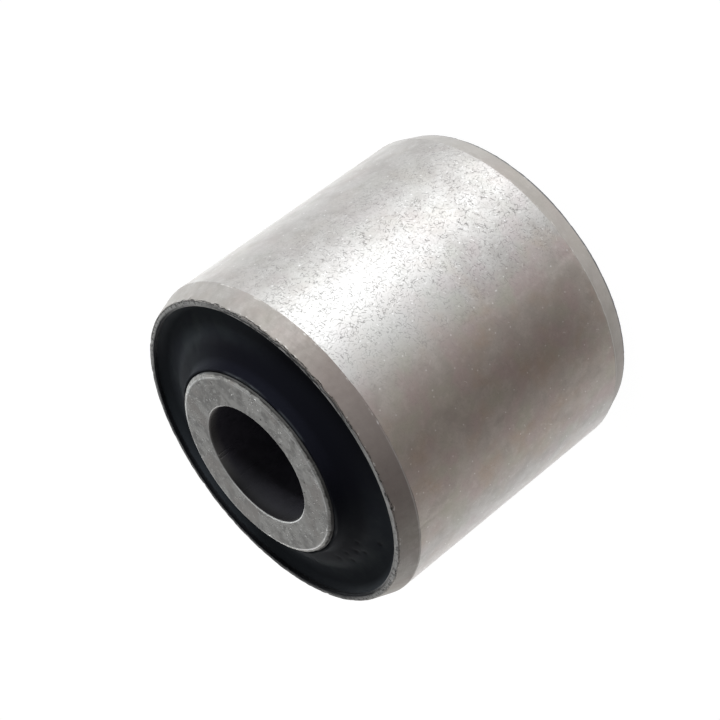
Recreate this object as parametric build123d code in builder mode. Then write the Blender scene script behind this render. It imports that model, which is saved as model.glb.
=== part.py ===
"""Rubber-metal bush: a steel outer sleeve and a steel inner sleeve with rubber bonded between them.

The bush stands on end. +Z runs along the bore, and the origin is the middle of the bore.
The two ends are alike, so each piece is turned as its upper half and mirrored.
Sizes are in millimetres.
"""

import os

from build123d import *

os.makedirs("parts", exist_ok=True)

# Outer sleeve: the tube that is pressed into the housing.
outer_diameter = 28.0
outer_length = 25.0
outer_wall = 1.15
lead_in_length = 1.7  # turned lead-in at each end, measured along the axis
lead_in_depth = 0.6  # how far the lead-in comes in from the outside
mouth_break = 0.1  # edge break where the end meets the inside wall

# Inner sleeve: the thick tube that the bolt clamps.
inner_diameter = 16.0
bore_diameter = 10.2
stand_out = 1.5  # how far each end stands out of the outer sleeve
rim_width = 0.35  # bevel round the outside of each end face, across the face
rim_drop = 0.2  # the same bevel, along the axis
bore_break = 0.25  # edge break at each mouth of the bore

# Rubber: it fills the gap and ends in a thin collar round the inner sleeve.
recess = 0.9  # depth at which the rubber meets the outer sleeve, below its end
collar_setback = 0.08  # from the inner sleeve's bevel down to the collar's top
collar_height = 0.8
collar_top_thickness = 0.22
collar_foot_thickness = 0.45
collar_lip_break = 0.08  # edge break round the collar's top
collar_foot_radius = 0.6
dish_sag = 0.12  # how far the end hollows between collar and outer sleeve

outer_r = outer_diameter / 2
outer_inside_r = outer_r - outer_wall
outer_half = outer_length / 2

inner_r = inner_diameter / 2
bore_r = bore_diameter / 2
inner_half = outer_half + stand_out

collar_top = inner_half - rim_drop - collar_setback
collar_foot = collar_top - collar_height
rubber_edge = outer_half - recess


with BuildPart() as outer_sleeve:
    with BuildSketch(Plane.XZ):
        with BuildLine():
            Polyline(
                (outer_inside_r, 0),
                (outer_r, 0),
                (outer_r, outer_half - lead_in_length),
                (outer_r - lead_in_depth, outer_half),
                (outer_inside_r + mouth_break, outer_half),
                (outer_inside_r, outer_half - mouth_break),
                close=True,
            )
        make_face()
    revolve(axis=Axis.Z)
    mirror(about=Plane.XY)
outer_sleeve.part.label = "outer_sleeve"
export_step(outer_sleeve.part, "parts/outer_sleeve.step")


with BuildPart() as rubber_element:
    with BuildSketch(Plane.XZ):
        with BuildLine():
            wall = Line((outer_inside_r, 0), (outer_inside_r, rubber_edge))
            dish = SagittaArc(wall @ 1, (inner_r + collar_foot_thickness, collar_foot), dish_sag)
            flank = Line(dish @ 1, (inner_r + collar_top_thickness, collar_top))
            lip = Line(flank @ 1, (inner_r, collar_top))
            bond = Line(lip @ 1, (inner_r, 0))
            Line(bond @ 1, wall @ 0)
        make_face()
        chamfer(vertices().sort_by_distance(flank @ 1)[0], length=collar_lip_break)
        fillet(vertices().sort_by_distance(flank @ 0)[0], radius=collar_foot_radius)
    revolve(axis=Axis.Z)
    mirror(about=Plane.XY)
rubber_element.part.label = "rubber_element"
export_step(rubber_element.part, "parts/rubber_element.step")


with BuildPart() as inner_sleeve:
    with BuildSketch(Plane.XZ):
        with BuildLine():
            Polyline(
                (bore_r, 0),
                (inner_r, 0),
                (inner_r, inner_half - rim_drop),
                (inner_r - rim_width, inner_half),
                (bore_r + bore_break, inner_half),
                (bore_r, inner_half - bore_break),
                close=True,
            )
        make_face()
    revolve(axis=Axis.Z)
    mirror(about=Plane.XY)
inner_sleeve.part.label = "inner_sleeve"
export_step(inner_sleeve.part, "parts/inner_sleeve.step")
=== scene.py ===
"""Looks of the rubber-metal bush: two steel sleeves with rubber moulded between them, on a pale floor.

Lengths in the tables, shapes and materials are millimetres; the meshes are built in metres.
Angles run round the bore from +X towards +Y, so the camera is at -90 degrees.
"""
import math

import bmesh
import bpy
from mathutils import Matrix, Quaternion, Vector, noise


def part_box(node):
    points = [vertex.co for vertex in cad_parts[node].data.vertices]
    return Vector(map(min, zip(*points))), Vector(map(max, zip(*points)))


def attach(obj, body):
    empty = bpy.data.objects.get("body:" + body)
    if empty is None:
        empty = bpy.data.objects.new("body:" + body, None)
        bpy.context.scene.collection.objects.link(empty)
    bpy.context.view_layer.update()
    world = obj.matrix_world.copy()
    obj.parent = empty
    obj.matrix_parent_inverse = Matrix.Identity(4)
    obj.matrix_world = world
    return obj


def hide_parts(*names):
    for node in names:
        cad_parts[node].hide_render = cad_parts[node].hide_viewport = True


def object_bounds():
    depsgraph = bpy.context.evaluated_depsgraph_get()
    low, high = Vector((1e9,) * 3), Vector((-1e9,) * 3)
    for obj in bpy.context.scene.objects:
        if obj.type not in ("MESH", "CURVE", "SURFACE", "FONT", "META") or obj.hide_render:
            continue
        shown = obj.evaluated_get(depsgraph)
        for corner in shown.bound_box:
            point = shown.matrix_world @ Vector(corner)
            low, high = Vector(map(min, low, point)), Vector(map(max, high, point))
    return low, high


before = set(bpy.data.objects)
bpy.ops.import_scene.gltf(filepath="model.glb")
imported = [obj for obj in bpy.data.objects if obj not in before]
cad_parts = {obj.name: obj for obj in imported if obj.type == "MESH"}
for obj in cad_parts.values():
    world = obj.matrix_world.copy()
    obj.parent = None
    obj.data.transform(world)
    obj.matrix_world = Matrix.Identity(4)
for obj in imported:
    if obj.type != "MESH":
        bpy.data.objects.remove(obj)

cad_low, cad_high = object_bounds()

MM = 0.001

# Studio: world brightness low down on its dark and bright sides and near the zenith, and the
# compass direction of its bright side (0 is the camera's side, positive towards +X).
DARK_SIDE = (0.28, 0.275, 0.275)
BRIGHT_SIDE = (0.88, 0.89, 0.9)
ZENITH = (0.14, 0.14, 0.145)
ZENITH_HEIGHT = 0.9
BRIGHT_TURN = 150
# Lamps as (name, azimuth, elevation, distance, width, height, watts, colour), metres and degrees.
LAMPS = [
    ("key", 49, 8, 0.6, 0.35, 0.2, 4.5, (0.94, 0.975, 1.0)),
    ("side", 140, 5, 0.6, 0.4, 0.1, 1.7, (0.95, 0.985, 1.0)),
    ("rim", -144, 5, 0.6, 0.5, 0.1, 1.5, (1.0, 1.0, 1.0)),
]
# Floor: half its width in metres, its colour, and the glow that the camera and mirror-like rays see
# in it, with that glow's share.
FLOOR_HALF = 2.0
FLOOR_COLOUR = (0.9, 0.9, 0.89)
FLOOR_GLOW = 1.085
FLOOR_SHARE = 0.9
# Card beside the bush: the turns it spans in degrees, and its start, reach and lift in metres.
CARD_TURN = (10, 45)
CARD_START = 18.5 * MM
CARD_REACH = 0.09
CARD_LIFT = 0.4 * MM
CARD_STEPS = 12
CARD_COLOUR = (0.3, 0.21, 0.165)
# Camera: place and aim in metres, roll in degrees and focal length in millimetres.
CAMERA_PLACE = (0, -0.158753, 0.087169)
CAMERA_AIM = (0.001569, 0, 0.001569)
CAMERA_ROLL = 126.92
CAMERA_LENS = 117.06


def node_size(node):
    """Outer radius and top of a CAD node, in millimetres."""
    low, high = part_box(node)
    return min(high[0], high[1]) / MM, high[2] / MM


outer_r, outer_top = node_size("outer_sleeve")
inner_r, inner_top = node_size("inner_sleeve")
rubber_top = node_size("rubber_element")[1]

# Outer sleeve: length of its lead-in and height of the lead-in's foot, and radii of the land's
# outer edge and of the mouth.
LEAD_IN = 1.7
LEAD_FOOT = outer_top - LEAD_IN
LAND_R = outer_r - 0.6
MOUTH_R = outer_r - 1.15
# Inner sleeve: radii of its face's outer edge and of its bore, and how far the bevel drops.
FACE_R = inner_r - 0.35
BORE_R = 5.1
BEVEL_DROP = 0.2
# Rubber: height of its rim at the outer sleeve, height past which its end starts, and the radius
# and half width of the hollow in its end.
RUBBER_RIM = 11.6
RUBBER_END = 11.0
HOLLOW_R = 10.7
HOLLOW_HALF = 2.3
# Radians by which the dents and flash of the rubber's lower end are turned from the upper end's.
LOWER_TURN = 2.1

# ---------------------------------------------------------------- sections

# Largest radius, in millimetres, that is drawn with few steps.
SMALL_ARC = 0.15


def rounded(corners, support=0.03):
    """Closed outline through (r, z, radius) corners, each rounded by its radius, in few steps if small."""
    outline = []
    count = len(corners)
    for i, (r, z, radius) in enumerate(corners):
        here = Vector((r, z))
        if radius == 0:
            outline.append(here)
            continue
        arc_steps = 3 if radius < SMALL_ARC else 6
        before = (Vector(corners[i - 1][:2]) - here).normalized()
        after = (Vector(corners[(i + 1) % count][:2]) - here).normalized()
        half = before.angle(after) / 2
        reach = radius / math.tan(half)
        middle = here + (before + after).normalized() * (radius / math.sin(half))
        start = here + before * reach
        end = here + after * reach
        outline.append(start + before * support)
        for k in range(arc_steps + 1):
            spoke = (start - middle).lerp(end - middle, k / arc_steps).normalized()
            outline.append(middle + spoke * radius)
        outline.append(end + after * support)
    return outline


def spaced(outline, fine, coarse, end_zone, underside=1):
    """The same outline with long stretches divided, finely past end_zone at either end.

    Lengths at the lower end may be underside times those at the upper one.
    """
    points = []
    for i, here in enumerate(outline):
        ahead = outline[(i + 1) % len(outline)]
        longest = coarse
        if min(here.y, ahead.y) > end_zone:
            longest = fine
        elif max(here.y, ahead.y) < -end_zone:
            longest = fine * underside
        parts = max(1, math.ceil((ahead - here).length / longest))
        points += [here.lerp(ahead, k / parts) for k in range(parts)]
    return points


def both_ends(upper):
    """Mirrors the corners of an upper half section to make the whole section."""
    lower = [(r, -z, radius) for r, z, radius in reversed(upper)]
    return upper + lower


def turned(name, outline, wear, steps):
    """Turns an outline of (r, z) points round Z; wear(angle, r, height, end) moves each point a little."""
    mesh = bmesh.new()
    rings = []
    for s in range(steps):
        angle = 2 * math.pi * s / steps
        ring = []
        for point in outline:
            end = math.copysign(1, point.y)
            r, height = wear(angle, point.x, abs(point.y), end)
            spot = (r * math.cos(angle) * MM, r * math.sin(angle) * MM, height * end * MM)
            ring.append(mesh.verts.new(spot))
        rings.append(ring)
    size = len(outline)
    for s in range(steps):
        ring, following = rings[s], rings[(s + 1) % steps]
        for k in range(size):
            ahead = (k + 1) % size
            mesh.faces.new((ring[k], ring[ahead], following[ahead], following[k]))
    bmesh.ops.recalc_face_normals(mesh, faces=mesh.faces)
    data = bpy.data.meshes.new(name)
    mesh.to_mesh(data)
    mesh.free()
    data.polygons.foreach_set("use_smooth", [True] * len(data.polygons))
    piece = bpy.data.objects.new(name, data)
    bpy.context.scene.collection.objects.link(piece)
    return piece


# ---------------------------------------------------------------- wear in the shapes


def ripple(angle, radius, swell, seed):
    """Smooth unevenness round a circle, about -0.7 to 0.7; swell is the length of one wave."""
    reach = radius / swell
    return noise.noise(Vector((math.cos(angle) * reach, math.sin(angle) * reach, seed)))


def nick(angle, radius, swell, seed, rare):
    """Scattered notches round a circle: 0 over most of it, up to 1 in a notch."""
    return max(0.0, ripple(angle, radius, swell, seed) - rare) / (0.7 - rare)


def near(value, middle, reach):
    """1 at middle, falling smoothly to 0 at reach on either side."""
    share = max(0.0, 1 - abs(value - middle) / reach)
    return share * share * (3 - 2 * share)


def apart(angle, r, other_angle, other_r):
    """Distance between two points of an end, given by angle and radius."""
    across = 2 * r * other_r * math.cos(angle - other_angle)
    return math.sqrt(max(0.0, r * r + other_r * other_r - across))


def outer_wear(angle, r, height, end):
    """A ragged burr between land and lead-in, an uneven lead-in line and a slightly wavy mouth."""
    seed = 4.3 * end
    burr = near(r, LAND_R, 0.16) * near(height, outer_top, 0.2)
    if burr > 0:
        drop = 0.02 + 0.03 * ripple(angle, r, 0.45, seed) + 0.07 * nick(angle, r, 0.5, seed + 9, 0.35)
        height -= burr * max(0.0, drop)
        r -= burr * 0.03 * nick(angle, r, 0.8, seed + 17, 0.3)
    line = near(height, LEAD_FOOT, 0.5) * near(r, outer_r, 0.2)
    if line > 0:
        height += line * (0.06 * ripple(angle, r, 4, seed + 23) + 0.03 * ripple(angle, r, 0.8, seed + 29))
        r -= line * 0.03 * nick(angle, r, 0.5, seed + 31, 0.35)
    mouth = near(r, MOUTH_R + 0.05, 0.12) * near(height, outer_top, 0.25)
    if mouth > 0:
        r += mouth * 0.03 * ripple(angle, r, 1.6, seed + 37)
    return r, height


def inner_wear(angle, r, height, end):
    """Small notches in the face's edges and a face that isn't quite flat."""
    seed = 5.9 * end
    face = near(height, inner_top, 0.1)
    if face > 0:
        height -= face * (0.012 + 0.012 * ripple(angle, r, 1.3, seed + r * 0.6))
    rim = near(r, FACE_R, 0.2) * near(height, inner_top, 0.15)
    if rim > 0:
        height -= rim * 0.05 * nick(angle, r, 0.6, seed + 11, 0.3)
    corner = near(r, inner_r, 0.2) * near(height, inner_top - BEVEL_DROP, 0.2)
    if corner > 0:
        r -= corner * (0.02 + 0.05 * nick(angle, r, 0.9, seed + 19, 0.25))
    mouth = near(r, BORE_R + 0.08, 0.15) * near(height, inner_top, 0.25)
    if mouth > 0:
        r += mouth * 0.05 * nick(angle, r, 0.6, seed + 27, 0.3)
    return r, height


# Dents in the rubber's ends as (angle on the upper end, radius, width, depth).
DENTS = [
    (172, 9.45, 0.28, 0.05), (-178, 9.35, 0.22, 0.05), (-171, 9.75, 0.3, 0.06), (-168, 10.3, 0.25, 0.05),
    (-156, 11.1, 0.3, 0.05), (179, 10.1, 0.3, 0.04), (-163, 9.5, 0.2, 0.04), (-10, 10.6, 0.5, 0.05),
    (-4, 9.6, 0.35, 0.04), (38, 10.8, 0.5, 0.04), (75, 9.6, 0.4, 0.04), (120, 11.2, 0.5, 0.05),
]
# How many of them, from the start of the list, are dark as well, on the upper end only.
DARK_DENTS = 7
# Flash on the collars' lips as (angle on the upper end, half width in degrees, how far it stands out).
FLASH = [(-50, 7, 0.14), (-60, 3, 0.1), (-152, 8, 0.07), (100, 9, 0.08), (20, 5, 0.06)]


def rubber_wear(angle, r, height, end):
    """Moulding unevenness: a wavy collar lip with flash, a gently uneven end and a few dents."""
    if height < RUBBER_END or r < inner_r + 0.04:
        return r, height
    seed = 7.7 * end
    turn = angle if end > 0 else angle + LOWER_TURN
    lip = near(height, rubber_top, 0.35) * near(r, inner_r + 0.2, 0.22)
    if lip > 0:
        out = 0.03 + 0.06 * ripple(angle, r, 1.1, seed) + 0.05 * ripple(angle, r, 5, seed + 3)
        for middle, half, reach in FLASH:
            swing = math.degrees(math.remainder(turn - math.radians(middle), math.tau))
            out += reach * near(swing, 0, half)
        r += lip * max(-0.03, out)
        height += lip * (0.03 * ripple(angle, r, 0.9, seed + 5) - 0.01)
    end_share = near(r, HOLLOW_R, HOLLOW_HALF)
    height += end_share * 0.035 * ripple(angle, r, 3.5, seed + r * 0.3)
    height += end_share * 0.006 * ripple(angle, r, 0.9, seed + 8 + r)
    for middle, middle_r, width, depth in DENTS:
        gap = apart(turn, r, math.radians(middle), middle_r)
        if gap < 3 * width:
            height -= depth * math.exp(-(gap / width) ** 2)
    return r, height


# ---------------------------------------------------------------- nodes


class Nodes:
    """A node tree, with short calls for its nodes."""

    def __init__(self, tree):
        self.nodes = tree.nodes
        self.links = tree.links

    def feed(self, socket, value):
        """Links a socket to a node's output, or sets its constant."""
        if isinstance(value, bpy.types.NodeSocket):
            self.links.new(value, socket)
        else:
            socket.default_value = value

    def new(self, kind, operation=None, values=()):
        """A node of a kind, with its operation and its first inputs set."""
        node = self.nodes.new(kind)
        if operation is not None:
            node.operation = operation
        for socket, value in zip(node.inputs, values):
            self.feed(socket, value)
        return node

    def math(self, operation, *values):
        return self.new("ShaderNodeMath", operation, values).outputs[0]

    def times(self, first, second):
        return self.math("MULTIPLY", first, second)

    def plus(self, first, second):
        return self.math("ADD", first, second)

    def minus(self, first, second):
        return self.math("SUBTRACT", first, second)

    def most(self, first, *others):
        """The largest of some numbers."""
        for other in others:
            first = self.math("MAXIMUM", first, other)
        return first

    def vector(self, operation, *values):
        return self.new("ShaderNodeVectorMath", operation, values).outputs[0]

    def measure(self, operation, *values):
        """A vector operation that gives a number."""
        return self.new("ShaderNodeVectorMath", operation, values).outputs["Value"]

    def join(self, x, y, z=0.0):
        return self.new("ShaderNodeCombineXYZ", values=(x, y, z)).outputs[0]

    def parts(self, vector):
        return self.new("ShaderNodeSeparateXYZ", values=(vector,)).outputs

    def band(self, value, start, end):
        """0 before start, 1 past end, smooth between; start may be the larger."""
        node = self.new("ShaderNodeMapRange")
        node.interpolation_type = "SMOOTHSTEP"
        self.feed(node.inputs["Value"], value)
        self.feed(node.inputs["From Min"], start)
        self.feed(node.inputs["From Max"], end)
        return node.outputs[0]

    def ring(self, value, middle, reach):
        """1 where value is at middle, 0 beyond reach on either side."""
        return self.band(self.math("ABSOLUTE", self.minus(value, middle)), reach, 0)

    def mix(self, share, first, second):
        """Colour: first where share is 0, second where it is 1."""
        node = self.new("ShaderNodeMix")
        node.data_type = "RGBA"
        self.feed(node.inputs[0], share)
        for socket, value in ((node.inputs[6], first), (node.inputs[7], second)):
            self.feed(socket, value if isinstance(value, bpy.types.NodeSocket) else (*value, 1))
        return node.outputs[2]

    def coat(self, colour, over, share, strength):
        """Colour with another laid over it, by share times strength."""
        return self.mix(self.times(share, strength), colour, over)

    def blend(self, share, first, second):
        """Number: first where share is 0, second where it is 1."""
        node = self.new("ShaderNodeMix")
        self.feed(node.inputs[0], share)
        self.feed(node.inputs[2], first)
        self.feed(node.inputs[3], second)
        return node.outputs[0]


class Paint(Nodes):
    """One material of the bush; positions are millimetres of the object's own frame."""

    def __init__(self, name):
        self.material, self.shader = plain_material(name)
        super().__init__(self.material.node_tree)
        coords = self.new("ShaderNodeTexCoord")
        scaled = self.new("ShaderNodeVectorMath", "SCALE", (coords.outputs["Object"],))
        scaled.inputs["Scale"].default_value = 1 / MM
        self.place = scaled.outputs[0]
        self.x, self.y, self.z = self.parts(self.place)
        self.plan = self.join(self.x, self.y)
        self.height = self.math("ABSOLUTE", self.z)
        across = self.times(self.x, self.x)
        self.radius = self.math("SQRT", self.math("MULTIPLY_ADD", self.y, self.y, across))

    def noise(self, size, seed=0, detail=3, roughness=0.5, where=None):
        """Smooth noise, 0 to 1 round 0.5, in lumps of a size."""
        node = self.new("ShaderNodeTexNoise")
        shift = (seed * 13.7, seed * 7.9, seed * 5.3)
        self.feed(node.inputs["Vector"], self.vector("ADD", self.place if where is None else where, shift))
        node.inputs["Scale"].default_value = 1 / size
        node.inputs["Detail"].default_value = detail
        node.inputs["Roughness"].default_value = roughness
        return node.outputs[0]

    def stray(self, size, seed, reach):
        """Noise that strays to half of reach on either side of 0."""
        return self.times(self.minus(self.noise(size, seed), 0.5), reach)

    def patches(self, size, seed, start, end, detail=3):
        """Clouds of a size: 0 where their noise is at start, 1 where it is at end."""
        return self.band(self.noise(size, seed, detail), start, end)

    def facing(self, degrees):
        """1 on the side of the bush that faces this way round, 0 a quarter turn off, -1 opposite."""
        turn = math.radians(degrees)
        along = self.math("MULTIPLY_ADD", self.y, math.sin(turn), self.times(self.x, math.cos(turn)))
        return self.math("DIVIDE", along, self.radius)

    def sector(self, degrees, start, end):
        """0 to 1 as facing(degrees) goes from start to end."""
        return self.band(self.facing(degrees), start, end)

    def around(self):
        """Angle round the bore in radians, 0 on the camera's side."""
        return self.math("ARCTAN2", self.x, self.times(self.y, -1.0))

    def unrolled(self, radius):
        """The wall of a tube laid flat: distance round it, then height."""
        return self.join(self.times(self.around(), radius), self.z)

    def gap_to(self, r, degrees):
        """Distance across an end from the point at a radius and an angle."""
        turn = math.radians(degrees)
        spot = (r * math.cos(turn), r * math.sin(turn), 0)
        return self.measure("LENGTH", self.vector("SUBTRACT", self.plan, spot))

    def cells(self, surface, size, shift):
        """Random points on a flat layout, one to a cell: their node, and the layout as shifted."""
        shifted = self.vector("ADD", surface, shift)
        node = self.new("ShaderNodeTexVoronoi")
        node.voronoi_dimensions = "2D"
        node.inputs["Scale"].default_value = 1 / size
        self.links.new(shifted, node.inputs["Vector"])
        return node, shifted

    def hairs(self, surface, cell, half_length, half_width, seed, share=1.0):
        """Short curved strokes on a flat layout, one to a cell, each turned at random; 1 on a stroke."""
        cells, shifted = self.cells(surface, cell, (seed * 7.3, seed * 3.1, 0))
        chance = self.new("ShaderNodeSeparateColor", values=(cells.outputs["Color"],))
        turn_by, length_by, keep_by = chance.outputs
        turn = self.new("ShaderNodeVectorRotate")
        turn.rotation_type = "Z_AXIS"
        self.links.new(self.vector("SUBTRACT", shifted, cells.outputs["Position"]), turn.inputs["Vector"])
        self.links.new(self.times(turn_by, math.tau), turn.inputs["Angle"])
        along, across, _ = self.parts(turn.outputs[0])
        bow = self.times(self.minus(keep_by, 0.5), 0.9 / half_length)
        curved = self.math("MULTIPLY_ADD", self.times(along, along), bow, across)
        reach = self.math("MULTIPLY_ADD", length_by, 0.65 * half_length, 0.35 * half_length)
        narrow = self.band(self.math("ABSOLUTE", curved), half_width, half_width * 0.3)
        short = self.band(self.math("DIVIDE", self.math("ABSOLUTE", along), reach), 1.0, 0.6)
        strength = self.math("MULTIPLY_ADD", self.times(turn_by, turn_by), 0.8, 0.2)
        stroke = self.times(self.times(narrow, short), strength)
        if share < 1:
            stroke = self.times(stroke, self.math("LESS_THAN", keep_by, share))
        return stroke

    def specks(self, surface, size, radius, seed):
        """Round spots on a flat layout, one to a cell; 1 at a spot's middle."""
        cells, _ = self.cells(surface, size, (seed * 5.1, seed * 2.7, 0))
        return self.band(self.times(cells.outputs["Distance"], size), radius, radius * 0.3)

    def smear(self, start, finish, width):
        """A soft wiped mark on the upper end, from one (x, y) to another; ragged along its edges."""
        from_start = self.vector("SUBTRACT", self.plan, (*start, 0))
        run = Vector(finish) - Vector(start)
        share = self.measure("DOT_PRODUCT", from_start, (*(run / run.length_squared), 0))
        share = self.math("MINIMUM", self.most(share, 0.0), 1.0)
        nearest = self.join(self.times(share, run.x), self.times(share, run.y))
        gap = self.measure("DISTANCE", from_start, nearest)
        ragged = self.math("MULTIPLY_ADD", self.noise(0.5, 20, 4), -width, gap)
        return self.times(self.band(ragged, width * 0.6, -width * 0.4), self.upper())

    def upper(self):
        """1 on the end away from the floor."""
        return self.band(self.z, 0, 1)

    def lower(self):
        """1 on the end at the floor."""
        return self.band(self.z, 0, -1)

    def bump(self, height, depth, below=None):
        """Adds relief; height is 0 to 1 and depth its size in millimetres."""
        node = self.new("ShaderNodeBump")
        node.inputs["Distance"].default_value = depth * MM
        self.feed(node.inputs["Height"], height)
        if below is not None:
            self.links.new(below, node.inputs["Normal"])
        return node.outputs[0]

    def finish(self, colour, roughness, normal, metallic=1.0):
        """Feeds the shader and gives the material."""
        self.feed(self.shader.inputs["Base Color"], colour)
        self.feed(self.shader.inputs["Roughness"], roughness)
        self.feed(self.shader.inputs["Normal"], normal)
        self.feed(self.shader.inputs["Metallic"], metallic)
        return self.material


def plain_material(name):
    """A new material and its shader node."""
    material = bpy.data.materials.new(name)
    material.use_nodes = True
    return material, material.node_tree.nodes["Principled BSDF"]


# ---------------------------------------------------------------- steel of the outer sleeve

NEAR_BLACK = (0.012, 0.013, 0.016)
STEEL_WORN = (0.60, 0.59, 0.578)
STEEL_DULL = (0.455, 0.437, 0.422)
# Tinted clouds as (size, seed, tint).
CLOUDS = [(3.2, 2, (0.94, 0.86, 0.80)), (2.7, 3, (0.92, 0.95, 0.89)), (2.3, 4, (0.95, 0.875, 0.9))]
# Painted warm tint for the side's shaded part.
SIDE_PAINTED_WARMTH = (1.05, 0.99, 0.94)
SIDE_SCRATCH_SHADE = (0.17, 0.165, 0.16)
SIDE_GLINT = (0.85, 0.85, 0.84)
SIDE_PIT_GLINT = (0.9, 0.9, 0.9)
# Painted glints: small bright spots on the side, where knocks catch the light, as (angle, height).
GLINT_SPOTS = [
    (-37.5, -3.3), (-39.4, -5), (-48.5, 2.3), (-89, 0), (-104, 5.7), (-100, -1), (-92, -3.3), (70, 4),
]
LEAD_DULL = (0.352, 0.335, 0.316)
LEAD_BRIGHT = (0.468, 0.45, 0.432)
LEAD_PAINTED_WARMTH = (1.01, 0.985, 0.965)
LEAD_SHADE = (0.26, 0.222, 0.205)
LEAD_FLECK_HIGHLIGHT = (0.8, 0.79, 0.77)
LAND_GREY = (0.5, 0.492, 0.478)
LAND_DIRT = (0.035, 0.034, 0.033)
# Painted shade for the lower end's edge at the floor.
FOOT_SHADE = (0.13, 0.135, 0.145)
# Radius at which the raggedness of the land's edge is laid out round the sleeve.
DRAWN_R = 13.0


def clouded_steel(paint, dull, worn, tinting):
    """Steel colour with soft clouds, darker, brighter and, by the share tinting, lightly tinted."""
    middle = tuple((a + b) / 2 for a, b in zip(dull, worn))
    colour = paint.mix(paint.patches(1.6, 1, 0.38, 0.66, 4), middle, dull)
    for size, seed, tint in CLOUDS:
        tinted = tuple(a * b for a, b in zip(middle, tint))
        colour = paint.coat(colour, tinted, paint.patches(size, seed, 0.46, 0.68, 2), tinting)
    colour = paint.coat(colour, worn, paint.patches(0.5, 5, 0.5, 0.75, 2), 0.4)
    grain = paint.noise(0.16, 15, 2, 0.6)
    return paint.coat(colour, dull, paint.band(grain, 0.4, 0.65), 0.35)


def side_scratches(paint, wall, highlight_side):
    """Scratch marks on the side, their darkness partly painted shade, and painted bright glints; thickest
    where the highlight band falls.
    """
    fine = paint.hairs(wall, 0.3, 0.18, 0.045, 1)
    crossing = paint.hairs(wall, 0.55, 0.28, 0.048, 2)
    uneven = paint.blend(paint.patches(1.6, 31, 0.36, 0.58), 0.5, 1.0)
    thick = paint.blend(highlight_side, 0.18, uneven)
    crazed = paint.ring(paint.noise(0.42, 51, 1), 0.5, 0.035)
    crazed = paint.times(crazed, paint.patches(0.7, 52, 0.44, 0.6, 1))
    crazed = paint.times(crazed, paint.blend(highlight_side, 0.1, 0.75))
    marks = paint.times(paint.most(fine, crossing), thick)
    marks = paint.most(paint.times(marks, 0.85), crazed)
    glints = paint.times(paint.hairs(wall, 0.5, 0.2, 0.042, 6, 0.6), thick)
    return marks, paint.most(paint.hairs(wall, 1.6, 0.25, 0.042, 3, 0.4), glints)


def glint_spot(paint, wall, degrees, height):
    """One painted glint: a small bright spot on the side, a little taller than wide."""
    spot = (math.radians(degrees + 90) * outer_r, height, 0)
    offset = paint.vector("MULTIPLY", paint.vector("SUBTRACT", wall, spot), (1.0, 0.75, 1.0))
    gap = paint.plus(paint.stray(0.25, 33, 0.15), paint.measure("LENGTH", offset))
    return paint.band(gap, 0.08, 0.02)


def ground_steel():
    """The outer sleeve's side: satin ground steel covered in tiny random hairs, with painted light: a widened
    highlight, glints and a warm tint on its shaded part.
    """
    paint = Paint("ground_steel")
    wall = paint.unrolled(outer_r)
    # The side's highlight band, where the painted scratch shade and glints are thickest.
    highlight_side = paint.sector(-62, 0.8, 0.98)
    marks, bright = side_scratches(paint, wall, highlight_side)
    for degrees, height in GLINT_SPOTS:
        bright = paint.most(bright, glint_spot(paint, wall, degrees, height))
    # Painted reflection tint: the clouds' tints grow stronger on the side's shaded part.
    tinting = paint.blend(paint.sector(-118, 0.6, 0.95), 0.2, 1.0)
    colour = clouded_steel(paint, STEEL_DULL, STEEL_WORN, tinting)
    # Painted highlight: the side is lightened where the highlight band widens on the upper half.
    painted_highlight_widening = paint.times(paint.sector(-75, 0.94, 0.99), paint.band(paint.z, -4, 5))
    colour = paint.coat(colour, STEEL_WORN, painted_highlight_widening, 0.7)
    # Scratches darkened: partly real marks, partly painted shade where they break the highlight.
    colour = paint.coat(colour, SIDE_SCRATCH_SHADE, marks, 0.45)
    # Painted reflection tint: the side's shaded part is made warmer.
    painted_warm_tint = paint.sector(-120, 0.8, 0.97)
    colour = paint.mix(painted_warm_tint, colour, paint.vector("MULTIPLY", colour, SIDE_PAINTED_WARMTH))
    # Painted glints: bright hairs and spots laid on the colour.
    colour = paint.coat(colour, SIDE_GLINT, bright, 0.5)
    # Painted glints: small bright specks, pits catching the light, scattered over the side.
    colour = paint.coat(colour, SIDE_PIT_GLINT, paint.specks(wall, 2.3, 0.09, 4), 0.5)
    rough = paint.blend(paint.noise(0.9, 7), 0.56, 0.7)
    rough = paint.blend(paint.sector(55, 0.5, 0.8), rough, 0.92)
    rough = paint.blend(marks, rough, 1.0)
    rough = paint.blend(paint.times(bright, 0.6), rough, 0.4)
    normal = paint.bump(paint.noise(0.12, 8, 2), 0.004)
    normal = paint.bump(marks, -0.004, normal)
    paint.shader.inputs["Anisotropic"].default_value = 0.55
    paint.shader.inputs["Anisotropic Rotation"].default_value = 0.25
    return paint.finish(colour, rough, normal)


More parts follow.
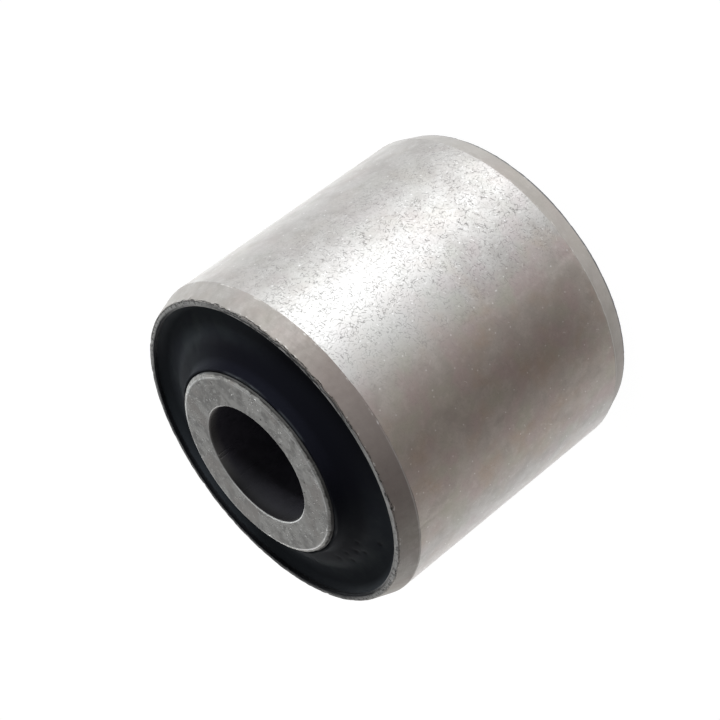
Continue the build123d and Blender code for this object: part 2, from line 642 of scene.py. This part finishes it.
def lead_in_colour(paint):
    """Turned steel of the lead-in, lightened on the lower end as a painted reflection of the floor, with a
    painted warm tint on the camera's side and painted shade there on the upper end.
    """
    colour = clouded_steel(paint, LEAD_DULL, LEAD_BRIGHT, 0.3)
    turning = paint.noise(0.12, 1, 2, where=paint.join(paint.radius, paint.height))
    colour = paint.coat(colour, LEAD_DULL, paint.band(turning, 0.5, 0.75), 0.4)
    # Painted reflection: the lower lead-in, beside the floor, is lightened.
    colour = paint.coat(colour, STEEL_WORN, paint.lower(), 0.3)
    # Painted warm tint on the camera's side.
    painted_warm_tint = paint.sector(-100, 0.4, 0.9)
    colour = paint.mix(painted_warm_tint, colour, paint.vector("MULTIPLY", colour, LEAD_PAINTED_WARMTH))
    # Painted shade: a darker, browner band on the camera's side of the upper lead-in.
    painted_shade = paint.times(paint.sector(-102, 0.76, 0.97), paint.upper())
    return paint.coat(colour, LEAD_SHADE, painted_shade, 0.8)


def land_dirt(paint, edge, ragged):
    """Dark dirt along the burr, packed into the land and in its pocks."""
    chips = paint.times(paint.sector(-138, 0.8, 0.93), paint.patches(0.4, 41, 0.46, 0.58))
    worst = paint.blend(paint.sector(-56, 0.3, 0.8), 0.4, 1.0)
    burr = paint.times(paint.ring(ragged, 0.04, 0.09), paint.most(worst, chips))
    packed = paint.times(paint.ring(ragged, -0.24, 0.26), paint.sector(-68, 0.72, 0.92))
    pocks = paint.times(paint.ring(edge, -0.15, 0.4), paint.patches(0.26, 43, 0.5, 0.6, 2))
    pocks = paint.times(pocks, paint.blend(paint.sector(-86, 0.85, 0.5), 0.15, 0.6))
    return paint.most(burr, paint.times(packed, 0.9), pocks)


def flecks_and_edge_highlights(paint, ragged):
    """Bright flecks and lines, partly bare metal and partly painted highlight: beside the burr, on the torn
    lip, and along the lead-in's foot, where the painted highlight is strongest on one side.
    """
    beside = paint.times(paint.ring(ragged, 0.2, 0.07), paint.patches(0.5, 12, 0.56, 0.66))
    torn_lip = paint.times(paint.ring(ragged, -0.2, 0.12), paint.sector(-130, 0.7, 0.9))
    # Painted highlight: the foot's bright line is strengthened on this side.
    painted_highlight_side = paint.times(paint.sector(-140, 0.75, 0.95), 0.5)
    line = paint.ring(paint.height, LEAD_FOOT + 0.03, 0.09)
    line = paint.times(line, paint.most(paint.patches(0.6, 17, 0.5, 0.75), painted_highlight_side))
    line = paint.times(line, paint.band(paint.radius, outer_r - 0.2, outer_r - 0.1))
    return paint.most(beside, paint.times(torn_lip, 0.6), line)


def mouth_blackening(paint, past_land):
    """Black inside the mouth alone, then with black over the inner part of the land on the far side."""
    drift = paint.stray(1.1, 10, 0.2)
    inward = paint.plus(past_land, drift)
    land_black = paint.times(paint.band(inward, 0.04, -0.42), paint.sector(100, 0.05, 0.7))
    brim = paint.times(paint.band(inward, -0.24, -0.46), paint.sector(90, -0.5, 0.1))
    inside = paint.band(paint.radius, MOUTH_R + 0.15, MOUTH_R + 0.05)
    depth = paint.plus(paint.height, drift)
    black = paint.times(inside, paint.band(depth, outer_top - 0.02, outer_top - 0.42))
    return black, paint.most(black, land_black, brim)


def turned_steel():
    """The outer sleeve's ends: turned lead-in with painted reflection and painted shade, burred land, and a
    black mouth.

    Edge is 0 at the land's outer corner, negative across the land and positive down the lead-in.
    """
    paint = Paint("turned_steel")
    past_land = paint.minus(paint.radius, LAND_R)
    edge = paint.plus(past_land, paint.minus(outer_top, paint.height))
    drawn = paint.join(paint.times(paint.around(), DRAWN_R), paint.times(edge, 2.0), paint.z)
    wander = paint.minus(paint.noise(1.3, 8, 6, 0.68, where=drawn), 0.5)
    ragged = paint.math("MULTIPLY_ADD", wander, 1.3, edge)
    dirt = land_dirt(paint, edge, ragged)
    black, mouth_black = mouth_blackening(paint, past_land)
    colour = paint.mix(paint.band(edge, 0.02, -0.08), lead_in_colour(paint), LAND_GREY)
    colour = paint.mix(dirt, colour, LAND_DIRT)
    # Painted shade: the lower lead-in is darkened within about a third of a millimetre of where it stands on
    # the floor.
    colour = paint.coat(colour, FOOT_SHADE, paint.band(edge, 0.36, 0.12), paint.lower())
    colour = paint.coat(colour, LEAD_FLECK_HIGHLIGHT, flecks_and_edge_highlights(paint, ragged), 0.6)
    colour = paint.mix(mouth_black, colour, NEAR_BLACK)
    rough = paint.blend(paint.noise(0.6, 11), 0.72, 0.88)
    rough = paint.blend(black, rough, 0.42)
    normal = paint.bump(paint.noise(0.25, 9, 3, 0.6), 0.012)
    normal = paint.bump(dirt, -0.03, normal)
    return paint.finish(colour, rough, normal, paint.minus(1.0, black))


# ---------------------------------------------------------------- steel of the inner sleeve

FACE_LIGHT, FACE_DARK = (0.48, 0.472, 0.452), (0.33, 0.323, 0.31)
FACE_WORN = (0.55, 0.545, 0.525)
FACE_BROWN = (0.41, 0.39, 0.37)
FACE_EDGE_HIGHLIGHT = (0.78, 0.78, 0.765)
FACE_SHADE = (0.05, 0.048, 0.045)
SMALL_PIT, SMALL_CHIP = (0.12, 0.115, 0.11), (0.85, 0.85, 0.83)
LARGE_PIT, LARGE_CHIP = (0.1, 0.095, 0.09), (0.8, 0.8, 0.78)
FINE_SCRATCH = (0.68, 0.68, 0.66)
OXIDE_LIGHT, OXIDE_DARK = (0.056, 0.052, 0.068), (0.04, 0.037, 0.05)
OXIDE_MOUTH = (0.2, 0.19, 0.182)
BORE_FAR_SHADE = (0.007, 0.007, 0.009)
# Larger marks on the inner sleeve's upper face as (radius, angle, size).
FACE_CHIPS = [(6.05, -1, 0.1), (5.95, -5, 0.08), (5.8, -11, 0.1), (5.75, -15, 0.09), (7.0, -38, 0.08)]
FACE_PITS = [
    (5.5, -25, 0.1), (5.9, -66, 0.12), (6.2, -71, 0.08), (5.5, -89, 0.1),
    (5.8, -123, 0.1), (5.45, -134, 0.1), (7.2, -20, 0.12),
]


def face_marks(paint):
    """Small pits, chips and scratches of the sawn face."""
    pits = paint.times(paint.specks(paint.place, 0.42, 0.08, 5), paint.patches(2.1, 4, 0.44, 0.56, 2))
    chips = paint.times(paint.specks(paint.place, 0.5, 0.07, 6), paint.patches(1.7, 7, 0.5, 0.6, 2))
    return pits, chips, paint.hairs(paint.place, 1.1, 0.5, 0.035, 8, 0.6)


def face_colour(paint, marks, line):
    """Mottled face with its small marks and its bright edges, worn bright and painted as highlights; line is
    the face's outer edge.
    """
    pits, chips, scratches = marks
    colour = paint.mix(paint.patches(0.9, 1, 0.4, 0.62, 5), FACE_LIGHT, FACE_DARK)
    colour = paint.mix(paint.patches(0.4, 2, 0.52, 0.75, 2), colour, FACE_WORN)
    colour = paint.mix(paint.patches(1.8, 3, 0.5, 0.7, 2), colour, FACE_BROWN)
    colour = paint.coat(colour, SMALL_PIT, pits, 0.6)
    colour = paint.coat(colour, SMALL_CHIP, chips, 0.45)
    colour = paint.coat(colour, FINE_SCRATCH, scratches, 0.25)
    # Painted highlight along the bore's mouth.
    bore_edge_highlight = paint.times(paint.ring(paint.radius, BORE_R + 0.12, 0.08), 0.9)
    return paint.coat(colour, FACE_EDGE_HIGHLIGHT, paint.most(line, bore_edge_highlight), 0.7)


def shaded_bevel(paint, colour):
    """Painted shade: the bevel's foot, dark and ragged on the camera's side."""
    rough_edge = paint.minus(paint.noise(0.7, 16, 4), 0.5)
    ragged = paint.math("MULTIPLY_ADD", rough_edge, 0.3, paint.radius)
    painted_shade = paint.times(paint.band(ragged, inner_r - 0.2, inner_r - 0.06), paint.sector(-108, -0.25, 0.35))
    return paint.mix(painted_shade, colour, FACE_SHADE)


def larger_marks(paint, colour):
    """The chips and pits that are listed one by one."""
    uneven = paint.stray(0.2, 17, 0.3)
    for marks, shade in ((FACE_CHIPS, LARGE_CHIP), (FACE_PITS, LARGE_PIT)):
        for r, degrees, size in marks:
            gap = paint.plus(paint.gap_to(r, degrees), uneven)
            mark = paint.times(paint.band(gap, size, 0.4 * size), paint.upper())
            colour = paint.coat(colour, shade, mark, 0.8)
    return colour


def bore_oxide(paint, deep):
    """The bore's dark oxide, greyer at the mouth, with painted shade darkest on its far side."""
    oxide = paint.mix(paint.patches(0.8, 12, 0.4, 0.65, 2), OXIDE_LIGHT, OXIDE_DARK)
    oxide = paint.mix(deep, OXIDE_MOUTH, oxide)
    # Painted shade: the far side of the bore, which faces the camera, is darkened.
    far = paint.times(paint.sector(137, 0.2, 0.8), paint.band(paint.height, inner_top - 5, inner_top - 0.3))
    return paint.coat(oxide, BORE_FAR_SHADE, far, 0.9)


def cut_steel():
    """The inner sleeve: a mottled, pitted sawn face with bright edges, partly painted highlight, a bevel with
    painted shade on the camera's side, and a blackened bore with painted shade on its far side.
    """
    paint = Paint("cut_steel")
    marks = face_marks(paint)
    pits, chips, scratches = marks
    # The face's outer edge: worn brighter and glossier, with a painted highlight.
    line = paint.times(paint.ring(paint.radius, FACE_R - 0.02, 0.12), paint.patches(2.6, 10, 0.36, 0.5, 2))
    bore = paint.band(paint.radius, BORE_R + 0.1, BORE_R + 0.03)
    deep = paint.band(paint.height, inner_top, inner_top - 1.1)
    film = paint.band(paint.plus(paint.radius, paint.stray(0.5, 11, 0.12)), inner_r - 0.11, inner_r - 0.01)
    colour = paint.mix(film, face_colour(paint, marks, line), NEAR_BLACK)
    colour = larger_marks(paint, shaded_bevel(paint, colour))
    colour = paint.mix(bore, colour, bore_oxide(paint, deep))
    rough = paint.blend(paint.noise(0.5, 13), 0.5, 0.68)
    rough = paint.blend(paint.times(line, 0.7), rough, 0.4)
    rough = paint.blend(paint.band(paint.radius, FACE_R + 0.02, FACE_R + 0.08), rough, 0.85)
    rough = paint.blend(paint.band(paint.radius, BORE_R + 0.24, BORE_R + 0.16), rough, 0.75)
    rough = paint.blend(bore, rough, 0.85)
    normal = paint.bump(paint.noise(0.35, 14, 4, 0.6), 0.015)
    normal = paint.bump(pits, -0.03, normal)
    normal = paint.bump(paint.most(chips, scratches), 0.02, normal)
    dull = paint.most(film, paint.times(bore, deep))
    return paint.finish(colour, rough, normal, paint.minus(1.0, dull))


# ---------------------------------------------------------------- rubber

RUBBER_DARK, RUBBER_LIGHT = (0.017, 0.0203, 0.0265), (0.023, 0.0285, 0.033)
RUBBER_DUST = (0.032, 0.04, 0.042)
RUBBER_MOTE = (0.08, 0.09, 0.09)
RUBBER_SLOPE = (0.006, 0.0068, 0.01)
RUBBER_SHADE = (0.0019, 0.0021, 0.0056)
RUBBER_NEAR = (0.0042, 0.0046, 0.0086)
RUBBER_OUTSKIRTS = (0.034, 0.0395, 0.0455)
RUBBER_DENT = (0.0015, 0.0016, 0.0035)
RUBBER_LIP_HIGHLIGHT = (0.035, 0.04, 0.043)
# Radii between which the rubber gets lighter towards the outer sleeve, and heights between which
# the collar's lip starts to shine.
OUTSKIRTS = (11.4, 12.7)
LIP_SHINE = (13.5, 13.65)
# Wiped marks on the rubber's upper end as (x, y) to (x, y) and width.
SMEARS = [
    ((11.46, -2.56), (10.61, -1.87), 0.7), ((10.61, -1.87), (9.58, -0.85), 0.9),
    ((9.58, -0.85), (8.6, 0.9), 0.8), ((-10.2, 2.2), (-8.9, 5.2), 0.5), ((2.5, 10.6), (-3.4, 10.9), 0.6),
]


def dusty_rubber(paint):
    """Blue-black rubber with dusty smudges, wiped marks and motes."""
    colour = paint.mix(paint.patches(1.8, 1, 0.4, 0.65), RUBBER_DARK, RUBBER_LIGHT)
    dust = paint.times(paint.patches(1.6, 2, 0.5, 0.75), 0.35)
    for start, finish, width in SMEARS:
        dust = paint.most(dust, paint.smear(start, finish, width))
    colour = paint.coat(colour, RUBBER_DUST, dust, 0.6)
    motes = paint.times(paint.specks(paint.place, 0.8, 0.05, 5), paint.patches(2, 6, 0.5, 0.6, 2))
    return paint.coat(colour, RUBBER_MOTE, motes, 0.3)


def shaded_rubber(paint, colour):
    """Darker up the collar and on the camera's side, lighter at the outer sleeve, dark in the dents."""
    colour = paint.coat(colour, RUBBER_SLOPE, paint.band(paint.radius, inner_r + 2.4, inner_r + 1.5), 0.7)
    shade = paint.band(paint.radius, inner_r + 3.2, inner_r + 1.4)
    colour = paint.coat(colour, RUBBER_SHADE, shade, paint.sector(-75, 0.1, 0.8))
    colour = paint.coat(colour, RUBBER_NEAR, paint.sector(-88, 0.55, 0.95), 0.92)
    colour = paint.coat(colour, RUBBER_OUTSKIRTS, paint.band(paint.radius, *OUTSKIRTS), 0.8)
    for degrees, r, width, _ in DENTS[:DARK_DENTS]:
        dent = paint.band(paint.gap_to(r, degrees), width, 0.3 * width)
        colour = paint.coat(colour, RUBBER_DENT, paint.times(dent, paint.upper()), 0.6)
    return colour


def collar_lip(paint):
    """The top of the collar's lip where it shows in three places round the bore: glossier, with a painted
    highlight.
    """
    top = paint.band(paint.height, *LIP_SHINE)
    lip = paint.times(paint.ring(paint.radius, inner_r + 0.25, 0.2), top)
    weaker = paint.times(paint.sector(-148, 0.97, 0.995), 0.5)
    return paint.times(lip, paint.most(paint.sector(-50, 0.95, 0.99), weaker, paint.sector(-85, 0.98, 0.995)))


def moulded_rubber():
    """Blue-black rubber with dull dusty smudges and a fine moulded grain."""
    paint = Paint("moulded_rubber")
    lip = collar_lip(paint)
    colour = shaded_rubber(paint, dusty_rubber(paint))
    # Painted highlight on the collar's lip.
    colour = paint.coat(colour, RUBBER_LIP_HIGHLIGHT, lip, 0.6)
    rough = paint.blend(paint.noise(1.2, 7), 0.76, 0.92)
    rough = paint.blend(paint.band(paint.radius, inner_r + 2.0, inner_r + 1.2), rough, 0.95)
    rough = paint.blend(lip, rough, 0.45)
    normal = paint.bump(paint.noise(1.0, 8, 2), 0.012)
    normal = paint.bump(paint.noise(0.12, 9, 2), 0.006, normal)
    paint.shader.inputs["Specular IOR Level"].default_value = 0.12
    return paint.finish(colour, rough, normal, 0.0)


# ---------------------------------------------------------------- pieces


def dress(piece, node, slot, *materials):
    """Gives a piece its materials, puts it under the root body and hides the CAD node it stands for."""
    for material in materials:
        piece.data.materials.append(material)
    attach(piece, "root")
    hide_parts(node)
    return piece


def make_outer_sleeve():
    """The outer sleeve, with its own steel on the ground side between the lead-ins."""
    corners = both_ends([
        (MOUTH_R, outer_top - 0.12, 0.04),
        (MOUTH_R + 0.09, outer_top - 0.02, 0.03),
        (LAND_R - 0.1, outer_top - 0.03, 0.03),
        (LAND_R - 0.03, outer_top, 0.02),
        (LAND_R + 0.035, outer_top - 0.1, 0.03),
        (outer_r, LEAD_FOOT, 0.1),
    ])
    outline = spaced(rounded(corners), fine=0.2, coarse=3.0, end_zone=LEAD_FOOT - 0.3)
    piece = turned("outer_sleeve_body", outline, outer_wear, steps=840)
    dress(piece, "outer_sleeve", "outer_steel", turned_steel(), ground_steel())
    for face in piece.data.polygons:
        middle = face.center / MM
        if math.hypot(middle.x, middle.y) > outer_r - 0.05 and abs(middle.z) < LEAD_FOOT - 0.08:
            face.material_index = 1
    return piece


def make_inner_sleeve():
    """The inner sleeve, with bevelled end faces and a broken bore mouth."""
    corners = both_ends([
        (BORE_R, inner_top - 0.16, 0.04),
        (BORE_R + 0.13, inner_top, 0.05),
        (FACE_R, inner_top, 0.1),
        (inner_r, inner_top - BEVEL_DROP, 0.08),
    ])
    outline = spaced(rounded(corners), fine=0.16, coarse=2.5, end_zone=inner_top - 0.5)
    piece = turned("inner_sleeve_body", outline, inner_wear, steps=640)
    return dress(piece, "inner_sleeve", "inner_steel", cut_steel())


def make_rubber():
    """The rubber, with a collar up the inner sleeve and hollowed ends."""
    corners = both_ends([
        (inner_r, rubber_top - 0.05, 0),
        (inner_r + 0.05, rubber_top - 0.05, 0.015),
        (inner_r + 0.1, rubber_top - 0.01, 0.03),
        (inner_r + 0.22, rubber_top - 0.04, 0.08),
        (inner_r + 0.47, rubber_top - 0.85, 0.7),
        (10.6, 12.1, 6),
        (MOUTH_R - 0.05, RUBBER_RIM, 0.5),
        (MOUTH_R, RUBBER_RIM + 0.6, 0),
    ])
    outline = spaced(rounded(corners), fine=0.2, coarse=4.0, end_zone=RUBBER_END, underside=2)
    piece = turned("rubber_body", outline, rubber_wear, steps=600)
    return dress(piece, "rubber_element", "rubber", moulded_rubber())


make_outer_sleeve()
make_inner_sleeve()
make_rubber()

# ---------------------------------------------------------------- studio


def add_camera():
    """The camera, rolled about its line of sight."""
    data = bpy.data.cameras.new("camera")
    data.lens = CAMERA_LENS
    data.clip_start = 5 * MM
    camera = bpy.data.objects.new("camera", data)
    camera.location = CAMERA_PLACE
    sight = Vector(CAMERA_AIM) - camera.location
    level = sight.to_track_quat("-Z", "Y")
    camera.rotation_mode = "QUATERNION"
    camera.rotation_quaternion = Quaternion(sight.normalized(), math.radians(CAMERA_ROLL)) @ level
    bpy.context.scene.collection.objects.link(camera)
    bpy.context.scene.camera = camera


def flat(name, points, faces):
    """A stage piece from points and faces."""
    mesh = bpy.data.meshes.new(name)
    mesh.from_pydata(points, [], faces)
    thing = bpy.data.objects.new(name, mesh)
    bpy.context.scene.collection.objects.link(thing)
    return thing


def add_floor():
    """Pale floor; the camera and mirror-like rays see it lit up, but it keeps the bush's shadow."""
    half, z = FLOOR_HALF, cad_low[2]
    points = [(-half, -half, z), (half, -half, z), (half, half, z), (-half, half, z)]
    floor = flat("floor", points, [(0, 1, 2, 3)])
    material, shader = plain_material("floor")
    net = Nodes(material.node_tree)
    shader.inputs["Base Color"].default_value = (*FLOOR_COLOUR, 1)
    shader.inputs["Roughness"].default_value = 1
    shader.inputs["Specular IOR Level"].default_value = 0
    path = net.new("ShaderNodeLightPath").outputs
    seen = net.most(path["Is Camera Ray"], path["Is Glossy Ray"], path["Is Transmission Ray"])
    glow = net.new("ShaderNodeEmission")
    glow.inputs["Strength"].default_value = FLOOR_GLOW
    surfaces = (net.times(seen, FLOOR_SHARE), shader.outputs[0], glow.outputs[0])
    both = net.new("ShaderNodeMixShader", values=surfaces)
    net.feed(net.nodes["Material Output"].inputs["Surface"], both.outputs[0])
    floor.data.materials.append(material)


def compass(turn):
    """Direction along the floor: 0 is the camera's side, positive is towards -X."""
    return Vector((-math.sin(turn), -math.cos(turn)))


def add_card():
    """Dark card on the floor beside the bush, seen only in the steel, for the dark side of its shading."""
    first, last = CARD_TURN
    z = cad_low[2] + CARD_LIFT
    near_row, far_row = [], []
    for k in range(CARD_STEPS + 1):
        turn = math.radians(first + (last - first) * k / CARD_STEPS)
        root = compass(turn) * CARD_START
        near_row.append((*root, z))
        far_row.append((*(root + compass(2 * turn) * CARD_REACH), z))
    row = CARD_STEPS + 1
    card = flat("card", near_row + far_row, [(k, k + 1, k + row + 1, k + row) for k in range(CARD_STEPS)])
    material, shader = plain_material("card")
    shader.inputs["Base Color"].default_value = (*CARD_COLOUR, 1)
    shader.inputs["Roughness"].default_value = 0.9
    card.data.materials.append(material)
    card.visible_camera = False
    card.visible_diffuse = False
    card.visible_shadow = False
    card.visible_transmission = False


def add_softbox(name, azimuth, elevation, distance, width, height, power, colour):
    """Area lamp aimed at the bush; azimuth 0 is the camera's side, positive towards +X."""
    data = bpy.data.lights.new(name, "AREA")
    data.shape = "RECTANGLE"
    data.size, data.size_y = width, height
    data.energy = power
    data.color = colour
    lamp = bpy.data.objects.new(name, data)
    turn, lift = math.radians(azimuth), math.radians(elevation)
    away = Vector((math.sin(turn) * math.cos(lift), -math.cos(turn) * math.cos(lift), math.sin(lift)))
    lamp.location = away * distance
    lamp.rotation_mode = "QUATERNION"
    lamp.rotation_quaternion = (-away).to_track_quat("-Z", "Y")
    bpy.context.scene.collection.objects.link(lamp)


def light():
    """World that is darker on one side and towards the zenith, and the lamps."""
    world = bpy.data.worlds.new("studio")
    bpy.context.scene.world = world
    world.use_nodes = True
    net = Nodes(world.node_tree)
    ray = net.new("ShaderNodeTexCoord").outputs["Generated"]
    ramp = net.new("ShaderNodeValToRGB", values=(net.parts(ray)[2],))
    low, high = ramp.color_ramp.elements
    low.position, low.color = 0.0, (0, 0, 0, 1)
    high.position, high.color = ZENITH_HEIGHT, (1, 1, 1, 1)
    turn = math.radians(BRIGHT_TURN)
    facing = net.measure("DOT_PRODUCT", ray, (math.sin(turn), -math.cos(turn), 0))
    low_down = net.mix(net.band(facing, -0.6, 0.8), DARK_SIDE, BRIGHT_SIDE)
    sky = net.mix(ramp.outputs[0], low_down, ZENITH)
    net.feed(net.nodes["Background"].inputs["Color"], sky)
    for lamp in LAMPS:
        add_softbox(*lamp)


add_camera()
add_floor()
add_card()
light()
bpy.context.scene.view_settings.view_transform = "Standard"
